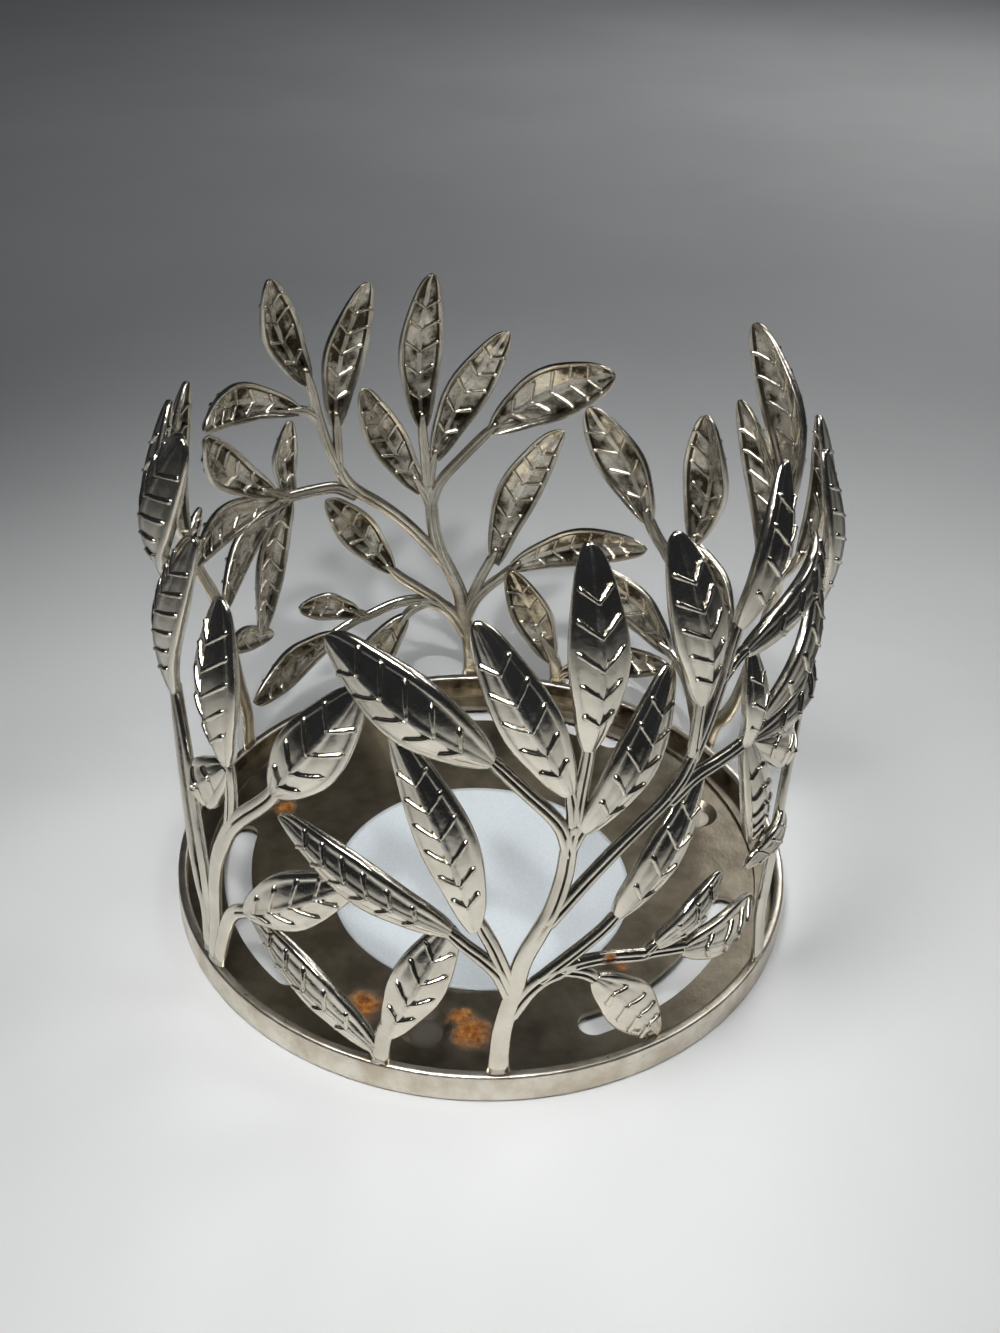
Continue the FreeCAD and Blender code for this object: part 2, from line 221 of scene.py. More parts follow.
# Colours
# Painted highlight colour on the plate's feet
FOOT_HIGHLIGHT_COLOUR = (0.52, 0.48, 0.42, 1)
RUST_COLOURS = (
    (0.34, (0.10, 0.025, 0.008)),
    (0.50, (0.34, 0.11, 0.02)),
    (0.66, (0.55, 0.27, 0.07)),
)
PAPER_COLOURS = ((0.3, (0.58, 0.63, 0.66)), (0.7, (0.68, 0.73, 0.76)))
FLOOR_COLOURS = ((0.3, (0.66, 0.67, 0.67)), (0.7, (0.74, 0.75, 0.75)))
WORLD_COLOUR = (0.020, 0.022, 0.026, 1)

# Floor, lamps and camera
FLOOR_REACH = 3.0
# A lamp: name, place, aim, size, power and spread angle
LAMPS = (
    ("key", (-0.06, -0.085, 0.34), (0, -0.07, 0), 0.12, 0.150, 70),
    ("fill", (0.22, 0.06, 0.30), (0.02, 0.02, 0), 0.14, 0.08, 110),
    ("back", (0.26, 0.50, 0.36), (0.06, 0.42, 0), 0.2, 0.70, 180),
    ("spark", (-0.02, -0.30, 0.46), (0, 0, 0.05), 0.03, 0.03, 30),
)
CAMERA_DISTANCE = 226.7 * MM
CAMERA_ELEVATION = math.radians(41.64)
CAMERA_TILT = math.radians(7.6)
CAMERA_PAN = math.radians(-0.47)
CAMERA_ROLL = math.radians(1.75)
CAMERA_LENS = 40.0
CAMERA_SENSOR = 36.0
CAMERA_NEAREST = 0.01
CAMERA_FARTHEST = 20

# Twigs and leaves of one half, as in the solids
# A twig is its points (azimuth, height share of LATTICE_TOP) and its two end widths, as shares of
# TWIG_WIDTH. A leaf is (base azimuth, base height share, tip azimuth, tip height share, bulge share on
# the left, bulge share on the right), seen from outside and looking from base to tip.
SPRAY_SHARES = {
    "crown_spray": {
        "twigs": (
            (((3.6, 0.0), (3.9, 0.111), (4.8, 0.172), (5.8, 0.217), (7.0, 0.278), (9.3, 0.33),
              (11.4, 0.375), (12.9, 0.433), (13.4, 0.478), (14.1, 0.528)), 1.25, 1.0),
            (((14.1, 0.528), (13.6, 0.565), (12.8, 0.6)), 0.9, 0.7),
            (((14.3, 0.515), (14.8, 0.58), (15.5, 0.64), (15.7, 0.68)), 0.85, 0.7),
            (((14.0, 0.49), (15.2, 0.515), (17.2, 0.545)), 0.85, 0.7),
        ),
        "leaves": (
            (12.9, 0.585, -2.2, 0.85, 0.59, 0.76),
            (15.6, 0.655, 14.0, 0.961, 0.53, 0.82),
            (15.7, 0.515, 29.3, 0.756, 0.54, 0.71),
        ),
    },
    "tall_spray": {
        "twigs": (
            (((-52.8, 0.0), (-53.9, 0.111), (-54.0, 0.167), (-53.5, 0.228), (-52.0, 0.283),
              (-49.5, 0.333), (-46.8, 0.378), (-43.0, 0.422), (-39.0, 0.461), (-36.0, 0.494),
              (-34.3, 0.525)), 1.35, 1.0),
            (((-47.3, 0.37), (-46.3, 0.43), (-46.3, 0.48), (-46.9, 0.515)), 1.0, 0.8),
            (((-46.4, 0.5), (-47.8, 0.493), (-50.5, 0.48)), 0.7, 0.6),
        ),
        "leaves": (
            (-35.2, 0.505, -20.2, 0.719, 0.74, 0.92),
            (-46.8, 0.5, -48.6, 0.772, 0.87, 0.85),
            (-46.8, 0.495, -61.3, 0.368, 0.78, 0.57),
        ),
    },
    "cradle_spray": {
        "twigs": (
            (((5.6, 0.2), (3.4, 0.253), (0.5, 0.287), (-2.5, 0.313), (-6.0, 0.347)), 1.0, 0.8),
            (((5.6, 0.22), (2.6, 0.3), (0.6, 0.342), (-1.0, 0.375)), 0.9, 0.8),
        ),
        "leaves": (
            (-0.8, 0.344, -15.0, 0.661, 0.32, 1.07),
            (-4.6, 0.337, -36.0, 0.45, 0.47, 0.85),
        ),
    },
    "arch_leaf": {
        "twigs": (
            (((13.6, 0.475), (11.6, 0.532), (6.0, 0.594), (0.0, 0.655)), 0.9, 0.8),
        ),
        "leaves": (
            (1.0, 0.643, -25.5, 0.792, 0.73, 1.03),
        ),
    },
    "high_spray": {
        "twigs": (
            (((10.8, 0.35), (16.0, 0.414), (20.5, 0.461), (25.0, 0.5), (30.0, 0.538), (33.0, 0.572),
              (34.6, 0.608)), 0.95, 0.9),
            (((34.2, 0.59), (34.5, 0.65), (34.9, 0.71)), 0.75, 0.7),
            (((34.2, 0.59), (36.8, 0.65), (38.9, 0.711), (40.3, 0.767), (41.8, 0.81)), 0.8, 0.7),
            (((38.9, 0.708), (42.0, 0.733), (46.0, 0.745)), 0.65, 0.6),
        ),
        "leaves": (
            (35.0, 0.685, 28.0, 0.956, 0.63, 0.72),
            (41.4, 0.785, 51.5, 1.0, 0.64, 0.65),
            (43.8, 0.737, 73.5, 0.8, 0.94, 0.27),
        ),
    },
    "fan_spray": {
        "twigs": (
            (((30.5, 0.53), (35.0, 0.556), (40.0, 0.564), (45.0, 0.569), (49.0, 0.574)), 0.95, 0.9),
            (((46.5, 0.57), (50.0, 0.59), (53.5, 0.609)), 0.7, 0.6),
        ),
        "leaves": (
            (46.5, 0.565, 46.6, 0.728, 0.41, 0.45),
            (51.0, 0.592, 73.3, 0.785, 0.49, 0.75),
            (48.0, 0.568, 81.0, 0.583, 0.62, 0.6),
            (47.0, 0.572, 57.5, 0.315, 0.45, 0.74),
            (48.0, 0.568, 70.0, 0.425, 0.6, 0.5),
        ),
    },
    "low_spray": {
        "twigs": (
            (((5.4, 0.17), (7.6, 0.21), (10.0, 0.237), (12.8, 0.251), (15.5, 0.26)), 1.1, 1.2),
            (((10.0, 0.24), (13.0, 0.266), (17.0, 0.297), (20.5, 0.325), (23.4, 0.356)), 0.9, 0.8),
            (((13.5, 0.258), (18.0, 0.264), (22.5, 0.259), (27.5, 0.246), (30.0, 0.243), (34.0, 0.231),
              (38.5, 0.215)), 0.9, 0.8),
            (((28.0, 0.244), (32.0, 0.272)), 0.7, 0.6),
            (((14.0, 0.254), (17.5, 0.24), (20.5, 0.212)), 0.9, 0.8),
        ),
        "leaves": (
            (22.4, 0.343, 38.3, 0.543, 0.71, 0.57),
            (30.3, 0.257, 45.5, 0.322, 0.54, 0.42),
            (36.0, 0.221, 60.5, 0.17, 0.6, 0.8),
            (19.2, 0.226, 32.7, 0.045, 0.83, 0.58),
        ),
    },
    "corner_spray": {
        "twigs": (
            (((59.3, 0.0), (61.3, 0.139), (63.3, 0.222), (65.3, 0.306), (67.5, 0.389), (71.0, 0.467),
              (75.5, 0.533), (79.5, 0.594), (81.5, 0.645)), 1.2, 0.9),
        ),
        "leaves": (
            (66.4, 0.322, 52.8, 0.292, 0.4, 0.45),
            (79.5, 0.583, 74.6, 0.661, 0.3, 0.32),
            (81.4, 0.625, 80.0, 0.911, 0.7, 0.85),
        ),
    },
    "side_spray": {
        "twigs": (
            (((-53.0, 0.0), (-57.5, 0.125), (-61.0, 0.172), (-63.7, 0.222), (-65.7, 0.278),
              (-67.5, 0.333), (-69.5, 0.394), (-71.5, 0.456), (-73.3, 0.51), (-75.5, 0.578),
              (-76.3, 0.633), (-75.3, 0.689), (-74.0, 0.725)), 1.2, 0.8),
            (((-56.6, 0.12), (-57.6, 0.2), (-59.4, 0.272), (-60.9, 0.322), (-61.9, 0.367),
              (-63.2, 0.42), (-66.0, 0.475), (-69.0, 0.52)), 0.8, 0.8),
            (((-74.7, 0.56), (-80.0, 0.611), (-83.8, 0.655)), 0.7, 0.7),
        ),
        "leaves": (
            (-69.3, 0.505, -56.8, 0.83, 1.1, 0.55),
            (-74.8, 0.7, -59.0, 0.975, 1.05, 0.9),
            (-83.2, 0.638, -89.0, 0.922, 0.75, 0.8),
        ),
    },
    "fork_leaf": {
        "twigs": (
            (((-53.1, 0.0), (-51.2, 0.122), (-49.3, 0.172), (-46.8, 0.206), (-43.8, 0.228),
              (-40.5, 0.243)), 1.15, 0.85),
        ),
        "leaves": (
            (-43.2, 0.232, -21.3, 0.376, 0.86, 0.71),
        ),
    },
    "band_sprig": {
        "twigs": (
            (((-16.6, 0.0), (-15.4, 0.1), (-14.2, 0.14), (-12.2, 0.175)), 1.2, 0.8),
            (((-15.6, 0.055), (-17.5, 0.085), (-20.5, 0.105)), 0.8, 0.7),
        ),
        "leaves": (
            (-14.6, 0.111, -4.3, 0.335, 0.75, 0.69),
            (-16.8, 0.08, -45.0, 0.206, 0.35, 0.88),
        ),
    },
}


# Shape helpers
def between(first, last, share):
    return first + (last - first) * share


def soft_step(low, high, value):
    t = min(max((value - low) / (high - low), 0), 1)
    return t * t * (3 - 2 * t)


def wall_radius(height):
    return BASE_RADIUS + (TOP_RADIUS - BASE_RADIUS) * height / LATTICE_TOP


def inset(height):
    """How far the lattice lies inside the wall: flush with the band at its foot, deeper above."""
    return LATTICE_INSET * soft_step(BAND_TOP, BAND_TOP + INSET_REACH, height)


def on_wall(across, height, centre, depth):
    """The point of a flat place, seen straight on at the azimuth centre, at a depth in the lattice."""
    radius = wall_radius(height)
    azimuth = math.radians(centre) + math.asin(across / radius)
    reach = min(radius - inset(height) - depth, BASE_RADIUS - SIDE_CLEARANCE)
    return Vector((reach * math.sin(azimuth), -reach * math.cos(azimuth), height))


def flat_place(azimuth, height_share, centre):
    height = height_share * LATTICE_TOP
    return Vector((wall_radius(height) * math.sin(math.radians(azimuth - centre)), height))


def smooth_path(points, steps):
    """A smooth curve through the points, with steps between each two."""
    path = []
    last = len(points) - 1
    for i in range(last):
        before = points[max(i - 1, 0)]
        start = points[i]
        end = points[i + 1]
        after = points[min(i + 2, last)]
        for k in range(steps):
            t = k / steps
            path.append(0.5 * (2 * start + (end - before) * t
                               + (2 * before - 5 * start + 4 * end - after) * t ** 2
                               + (3 * start - before - 3 * end + after) * t ** 3))
    path.append(points[last])
    return path


def make_piece(name, points, faces, materials, indices):
    """A smooth mesh object, with a material index on every face."""
    mesh = bpy.data.meshes.new(name)
    mesh.from_pydata(points, [], faces)
    for material in materials:
        mesh.materials.append(material)
    for face, index in zip(mesh.polygons, indices):
        face.material_index = index
        face.use_smooth = True
    mesh.validate()
    piece = bpy.data.objects.new(name, mesh)
    bpy.context.scene.collection.objects.link(piece)
    return piece


class Skin:
    """Collects closed forms, each a row of rings, as one mesh with a material index on every face."""

    def __init__(self):
        self.points = []
        self.faces = []
        self.indices = []

    def add(self, rings, index_of):
        first = len(self.points)
        count = len(rings[0])
        for ring in rings:
            self.points.extend(ring)
        for i in range(len(rings) - 1):
            for k in range(count):
                a = first + i * count + k
                b = first + i * count + (k + 1) % count
                self.faces.append((a, b, b + count, a + count))
                self.indices.append(index_of(i, k))
        last = first + (len(rings) - 1) * count
        self.faces.append(tuple(first + k for k in reversed(range(count))))
        self.faces.append(tuple(last + k for k in range(count)))
        self.indices += [ON_FACE, ON_FACE]

    def make(self, name, materials, turn):
        spin = Matrix.Rotation(math.radians(turn), 4, "Z")
        points = [spin @ point for point in self.points]
        return make_piece(name, points, self.faces, materials, self.indices)


# Twigs
def twig_section(half_width, groove):
    """A flat round-edged bar with a sharp groove along its outer face and a shallow one inside."""
    section = []
    faces = (
        (1, 1, TWIG_ACROSS_SHARES[::-1]),
        (-1, INNER_GROOVE_SHARE, TWIG_ACROSS_SHARES[1:-1]),
    )
    for face, groove_share, across_shares in faces:
        for share in across_shares:
            rise = WALL / 2 * (1 - abs(share) ** SECTION_POWER) ** SECTION_ROUNDNESS
            dip = groove * max(1 - abs(share) / GROOVE_HALF_SHARE, 0)
            section.append((half_width * share, face * (rise - dip * groove_share)))
    return section


def add_twig(skin, places, first_width_share, last_width_share):
    """A row of sections with round ends: point, along, side, half width, groove and size of each."""
    centre = sum(azimuth for azimuth, _ in places) / len(places)
    path = smooth_path([flat_place(azimuth, share, centre) for azimuth, share in places], TWIG_STEPS)
    rooted = places[0][1] == 0
    if rooted:
        path = [point for point in path if point.y > BAND_TOP - FOOT_DEPTH]
    rows = []
    last = len(path) - 1
    for i, point in enumerate(path):
        along = (path[min(i + 1, last)] - path[max(i - 1, 0)]).normalized()
        side = Vector((-along.y, along.x))
        share = i / last
        fullness = soft_step(0, TWIG_TAPER, (path[last] - point).length)
        half = TWIG_WIDTH / 2 * between(first_width_share, last_width_share, share)
        half *= between(TAPERED_WIDTH_SHARE, 1, fullness)
        groove = TWIG_GROOVE * fullness
        if rooted:
            groove *= soft_step(ROOTED_GROOVE_START, ROOTED_GROOVE_FULL, share)
            half *= between(FOOT_WIDTH_SHARE, 1, soft_step(0, FOOT_FLARE, point.y - BAND_TOP))
        rows.append((point, along, side, half, groove, 1.0))
    point, along, side, half = rows[-1][:4]
    for size, reach in TWIG_CAP:
        rows.append((point + along * TWIG_END * reach, along, side, half, 0, size))
    if not rooted:
        point, along, side, half = rows[0][:4]
        for size, reach in TWIG_CAP:
            rows.insert(0, (point - along * TWIG_END * reach, along, side, half, 0, size))
    rings = []
    for point, along, side, half, groove, size in rows:
        ring = []
        for across, rise in twig_section(half * size, groove):
            place = point + side * across
            ring.append(on_wall(place.x, place.y, centre, WALL / 2 - rise * size))
        rings.append(ring)
    half_count = len(rings[0]) // 2
    groove_strips = (half_count // 2 - 1, half_count // 2)

    # Deep groove strips take the near-black groove colour: patina and painted shade
    def index_of(i, k):
        if k >= half_count:
            return ON_EDGE
        return IN_GROOVE if k in groove_strips and rows[i][4] > DARK_GROOVE_DEPTH else ON_FACE

    skin.add(rings, index_of)


# Leaves
def leaf_width(t):
    """Share of the full bulge at a share t of the length: a lens with a rounder tip."""
    if not 0 < t < 1:
        return 0.0
    return (4 * t * (1 - t)) ** (1 - TIP_BLUNTNESS * soft_step(TIP_START, 1, t))


class Leaf:
    """One leaf's surface, in the wall's own frame."""

    def __init__(self, row):
        base_azimuth, base_share, tip_azimuth, tip_share, left_share, right_share = row
        self.centre = (base_azimuth + tip_azimuth) / 2
        self.base = flat_place(base_azimuth, base_share, self.centre)
        self.tip = flat_place(tip_azimuth, tip_share, self.centre)
        self.length = (self.tip - self.base).length
        self.along = (self.tip - self.base).normalized()
        self.side = Vector((-self.along.y, self.along.x))
        self.left = left_share * LEAF_BULGE
        self.right = right_share * LEAF_BULGE
        self.vein_count = max(int(self.length / VEIN_PITCH), LEAST_VEINS)
        size_share = min(self.length / FULL_LENGTH, 1)
        self.lean = TIP_LEAN * size_share
        height = (self.base.y + self.tip.y) / 2
        crest = ROOF_SLOPE * ROOF_MIDDLE_SHARE * (self.left + self.right) / 2 + RIB_RISE
        room = BASE_RADIUS - wall_radius(height) + inset(height) - crest
        self.dome = min(LENGTHWISE_DOME * size_share, max(room, LEAST_DOME))

    def half_width(self, t):
        """Distance from the midrib to the edge, on either hand."""
        stem = TWIG_WIDTH * BASE_HALF_SHARE * (1 - soft_step(0, BASE_REACH, t))
        return (self.left + self.right) / 2 * leaf_width(t) + stem + LEAST_HALF

    def place(self, t, offset):
        """Flat place at a share of the length and a distance from the midrib, kept above the band."""
        rib = (self.left - self.right) / 2 * leaf_width(t)
        place = self.base + self.along * self.length * t + self.side * (rib + offset)
        place.y = min(max(place.y, BAND_TOP - BAND_OVERLAP), LATTICE_TOP - TIP_CLEARANCE)
        return place

    def lift(self, t, offset, half):
        """How far the leaf's body stands out from the lattice: domed along, roofed across."""
        dome = self.dome * 4 * t * (1 - t)
        lean = self.lean * soft_step(LEAN_START, 1, t)
        roof = ROOF_SLOPE * half * (ROOF_MIDDLE_SHARE - abs(offset / half) ** ROOF_POWER)
        return dome - lean + roof

    def relief(self, t, from_edge, half, narrow, panel):
        """Height of the rim, panel and midrib above the leaf's body, with a swell between the veins."""
        panel_depth, panel_pillow, cell_swell = panel
        rim_end = RIM_WIDTH * narrow
        panel_start = rim_end + RIM_SLOPE * narrow
        from_rib = half - from_edge
        sunk = panel_depth * soft_step(rim_end, panel_start, from_edge)
        panel_half = max(half - panel_start, LEAST_PANEL)
        middle = min(max((from_edge - panel_start) / panel_half, 0), 1)
        root = t - VEIN_SWEEP * from_rib / self.length
        cell = (root - VEIN_ZONE_START) / VEIN_ZONE * self.vein_count - FIRST_VEIN
        swell = cell_swell * math.sin(math.pi * cell) ** 2
        pillow = (panel_pillow + swell) * math.sin(math.pi * middle)
        rib = RIB_RISE * max(1 - from_rib / (RIB_HALF * narrow), 0)
        edge = EDGE_ROUND * max(1 - from_edge / EDGE_ROUND, 0) ** 2
        return narrow * (-sunk + pillow + rib) - edge

    def point(self, t, offset, rise, outside):
        lift = self.lift(t, offset, self.half_width(t))
        if outside:
            depth = -lift - rise
        else:
            thinness = soft_step(THIN_START, 1, t)
            depth = WALL * between(INNER_SHARE_AT_BASE, INNER_SHARE_AT_TIP, thinness) - lift + rise
        place = self.place(t, offset)
        return on_wall(place.x, place.y, self.centre, depth)


def across_places(half, narrow):
    """Distances from the edge to the midrib where the leaf's section turns."""
    rim_end = RIM_WIDTH * narrow
    panel_start = rim_end + RIM_SLOPE * narrow
    rib_foot = half - RIB_HALF * narrow
    places = [0, EDGE_ROUND / 2 * narrow, EDGE_ROUND * narrow, rim_end, (rim_end + panel_start) / 2]
    return places + [between(panel_start, rib_foot, share) for share in PANEL_SHARES]


def add_leaf(skin, row):
    leaf = Leaf(row)
    rings = []
    for i in range(LEAF_ROWS + 1):
        t = 0.5 - 0.5 * math.cos(math.pi * i / LEAF_ROWS)
        half = leaf.half_width(t)
        narrow = min(half / NARROW_HALF, 1)
        edges = across_places(half, narrow)
        columns = [(half - edge, edge) for edge in edges]
        columns += [(0, half)]
        columns += [(edge - half, edge) for edge in reversed(edges)]
        outer = [leaf.point(t, offset, leaf.relief(t, edge, half, narrow, OUTER_PANEL), True)
                 for offset, edge in columns]
        inner = [leaf.point(t, offset, leaf.relief(t, edge, half, narrow, INNER_PANEL), False)
                 for offset, edge in reversed(columns)]
        rings.append(outer + inner)
    outer_count = len(rings[0]) // 2
    rib_strips = (outer_count // 2 - 1, outer_count // 2)
    edge_strips = (outer_count - 1, 2 * outer_count - 1)

    def index_of(i, k):
        if k in rib_strips or k in edge_strips:
            return ON_EDGE
        if k < outer_count:
            return ON_FACE
        return INNER_STRIPS[min(k - outer_count, 2 * outer_count - 2 - k)]

    skin.add(rings, index_of)
    for outside in (True, False):
        for i in range(leaf.vein_count):
            start = VEIN_ZONE_START + VEIN_ZONE * (i + FIRST_VEIN) / leaf.vein_count
            for hand in (1, -1):
                add_vein(skin, leaf, start, hand, outside)


def add_vein(skin, leaf, start, hand, outside):
    """A raised bar from the midrib up towards the rim, wider and rounder at its outer end."""
    spine = []
    last = VEIN_STEPS - 1
    reach = leaf.half_width(start) * VEIN_REACH_SHARE
    for i in range(VEIN_STEPS):
        share = i / last
        t = min(start + VEIN_SWEEP * reach * share / leaf.length, VEIN_TIP_LIMIT)
        half = leaf.half_width(t)
        narrow = min(half / NARROW_HALF, 1)
        limit = half - RIM_WIDTH * narrow * VEIN_RIM_SHARE
        spine.append((t, min(reach * share, limit) * hand, half, narrow))
    rings = []
    panel = OUTER_PANEL if outside else INNER_PANEL
    for i, (t, offset, half, narrow) in enumerate(spine):
        share = i / last
        before = spine[max(i - 1, 0)]
        after = spine[min(i + 1, last)]
        run = Vector(((after[0] - before[0]) * leaf.length, after[1] - before[1])).normalized()
        width = between(VEIN_HALF_AT_RIB, VEIN_HALF_AT_RIM, share) * narrow
        round_end = math.sqrt(max(1 - soft_step(VEIN_ROUND_START, 1, share) ** 2, LEAST_ROUND))
        full = between(VEIN_LOW_SHARE, 1, soft_step(0, VEIN_FULL_AT, share))
        rise = VEIN_RISE * narrow * round_end * full
        body = leaf.relief(t, half - abs(offset), half, narrow, panel)
        ring = []
        for k in range(VEIN_SIDES):
            angle = math.tau * k / VEIN_SIDES
            shift = width * round_end * math.cos(angle)
            place_t = t - run.y * shift / leaf.length
            place_offset = offset + run.x * shift
            ring.append(leaf.point(place_t, place_offset, body + rise * math.sin(angle), outside))
        rings.append(ring)
    skin.add(rings, lambda i, k: ON_FACE if outside else ON_EDGE)


# Materials
class Shader:
    """A new material's nodes, with short calls for the nodes that several materials use."""

    def __init__(self, name):
        self.material = bpy.data.materials.new(name)
        self.material.use_nodes = True
        self.nodes = self.material.node_tree.nodes
        self.links = self.material.node_tree.links
        self.inputs = self.nodes["Principled BSDF"].inputs

    def noise(self, pattern):
        scale, detail, roughness = pattern
        where = self.nodes.new("ShaderNodeTexCoord")
        node = self.nodes.new("ShaderNodeTexNoise")
        node.inputs["Scale"].default_value = scale
        node.inputs["Detail"].default_value = detail
        node.inputs["Roughness"].default_value = roughness
        self.links.new(where.outputs["Object"], node.inputs["Vector"])
        return node.outputs["Fac"]

    def ramp(self, source, stops):
        """A colour ramp over a value: stops are (place, colour)."""
        node = self.nodes.new("ShaderNodeValToRGB")
        elements = node.color_ramp.elements
        while len(elements) < len(stops):
            elements.new(0.5)
        for element, (place, colour) in zip(elements, stops):
            element.position = place
            element.color = (*colour, 1)
        self.links.new(source, node.inputs["Fac"])
        return node.outputs["Color"]

    def spread(self, source, low, high):
        """A value from 0 to 1, spread between two numbers."""
        node = self.nodes.new("ShaderNodeMapRange")
        node.inputs["To Min"].default_value = low
        node.inputs["To Max"].default_value = high
        self.links.new(source, node.inputs["Value"])
        return node.outputs["Result"]

    def fade(self, source, start, end):
        """0 where the value is start or more, softly up to 1 where it is end or less."""
        node = self.nodes.new("ShaderNodeMapRange")
        node.interpolation_type = "SMOOTHSTEP"
        node.inputs["From Min"].default_value = start
        node.inputs["From Max"].default_value = end
        self.links.new(source, node.inputs["Value"])
        return node.outputs["Result"]

    def bump(self, source, height, strength, normal=None):
        node = self.nodes.new("ShaderNodeBump")
        node.inputs["Distance"].default_value = height
        node.inputs["Strength"].default_value = strength
        self.links.new(source, node.inputs["Height"])
        if normal:
            self.links.new(normal, node.inputs["Normal"])
        return node.outputs["Normal"]

    def distance(self, place):
        where = self.nodes.new("ShaderNodeTexCoord")
        node = self.nodes.new("ShaderNodeVectorMath")
        node.operation = "DISTANCE"
        node.inputs[1].default_value = place
        self.links.new(where.outputs["Object"], node.inputs[0])
        return node.outputs["Value"]

    def combined(self, operation, values):
        """The largest or smallest of several values."""
        result = values[0]
        for value in values[1:]:
            node = self.nodes.new("ShaderNodeMath")
            node.operation = operation
            self.links.new(result, node.inputs[0])
            self.links.new(value, node.inputs[1])
            result = node.outputs["Value"]
        return result

    def spot(self, place, reach):
        """1 at a place, ragged and falling to 0 at its reach."""
        ragged = self.nodes.new("ShaderNodeMath")
        ragged.operation = "MULTIPLY_ADD"
        self.links.new(self.noise(RUST_EDGE), ragged.inputs[0])
        ragged.inputs[1].default_value = RUST_RAGGEDNESS * reach
        self.links.new(self.distance(place), ragged.inputs[2])
        return self.fade(ragged.outputs["Value"], RUST_FADE_START * reach, RUST_FADE_END * reach)

    def mix(self, share, first, second):
        """A colour that goes from first to second as the share goes from 0 to 1."""
        node = self.nodes.new("ShaderNodeMix")
        node.data_type = "RGBA"
        self.links.new(share, node.inputs["Factor"])
        self.links.new(first, node.inputs["A"])
        if isinstance(second, tuple):
            node.inputs["B"].default_value = second
        else:
            self.links.new(second, node.inputs["B"])
        return node.outputs["Result"]


def plated_metal(name, dark, light, roughness, pit_strength, wave_strength, stain_stops=STAIN_STOPS,
                 rusty=(), painted_highlights=()):
    """Nickel plate with slow changes of colour and gloss, soft waves, fine pits, rust and painted
    highlights.
    """
    shader = Shader(name)
    colour = shader.ramp(shader.noise(STAIN), tuple(zip(stain_stops, (dark, light))))
    if painted_highlights:
        # Painted highlight: the colour turns lighter towards each given place, standing in for the shine
        # on the feet
        nearest = shader.combined("MINIMUM", [shader.distance(place) for place in painted_highlights])
        highlight_share = shader.fade(nearest, FOOT_HIGHLIGHT_REACH, FOOT_HIGHLIGHT_CORE_SHARE * FOOT_HIGHLIGHT_REACH)
        colour = shader.mix(highlight_share, colour, FOOT_HIGHLIGHT_COLOUR)
    if rusty:
        rust = shader.combined("MAXIMUM", [shader.spot(*spot) for spot in rusty])
        colour = shader.mix(rust, colour, shader.ramp(shader.noise(RUST_GRAIN), RUST_COLOURS))
        shader.links.new(shader.spread(rust, 1.0, 0.0), shader.inputs["Metallic"])
    else:
        shader.inputs["Metallic"].default_value = 1.0
    shader.links.new(colour, shader.inputs["Base Color"])
    shader.links.new(shader.spread(shader.noise(GLOSS), *roughness), shader.inputs["Roughness"])
    waves = shader.bump(shader.noise(WAVES), WAVE_HEIGHT, wave_strength)
    pits = shader.bump(shader.noise(PITS), PIT_HEIGHT, pit_strength, waves)
    shader.links.new(pits, shader.inputs["Normal"])
    return shader.material


def paper():
    """Matt paper with a thin gloss."""
    shader = Shader("label_paper")
    fibre = shader.noise(FIBRE)
    shader.links.new(shader.ramp(fibre, PAPER_COLOURS), shader.inputs["Base Color"])
    shader.inputs["Roughness"].default_value = PAPER_ROUGHNESS
    shader.inputs["Coat Weight"].default_value = PAPER_COAT
    shader.inputs["Coat Roughness"].default_value = PAPER_COAT_ROUGHNESS
    shader.links.new(shader.bump(fibre, FIBRE_HEIGHT, FIBRE_STRENGTH), shader.inputs["Normal"])
    return shader.material


def on_plate(azimuth, radius_share, height):
    reach = radius_share * BASE_RADIUS
    turn = math.radians(azimuth)
    return (reach * math.sin(turn), -reach * math.cos(turn), height)


TWIG_RUST = [(tuple(on_wall(0, share * LATTICE_TOP, azimuth, 0)), reach)
             for azimuth, share, reach in RUSTY_TWIGS]
PLATE_RUST = [(on_plate(azimuth, share, RUST_HEIGHT), reach) for azimuth, share, reach in RUSTY_PLATE]
# Places of the painted highlights, one on each foot of the plate
FOOT_HIGHLIGHT_PLACES = [on_plate(azimuth, FEET_SHARE, FEET_HEIGHT) for azimuth in FEET_AZIMUTHS]

BRIGHT = plated_metal("bright_plate", dark=(0.65, 0.60, 0.50), light=(0.80, 0.75, 0.64),
                      roughness=(0.06, 0.20), pit_strength=0.4, wave_strength=0.26, rusty=TWIG_RUST)
INSIDE = plated_metal("tarnished_inside", dark=(0.07, 0.055, 0.035), light=(0.90, 0.84, 0.72),
                      roughness=(0.07, 0.30), pit_strength=1.0, wave_strength=1.0,
                      stain_stops=TARNISH_STOPS)
EDGE = plated_metal("cut_edge", dark=(0.50, 0.46, 0.38), light=(0.80, 0.76, 0.67),
                    roughness=(0.12, 0.32), pit_strength=0.6, wave_strength=0.5)
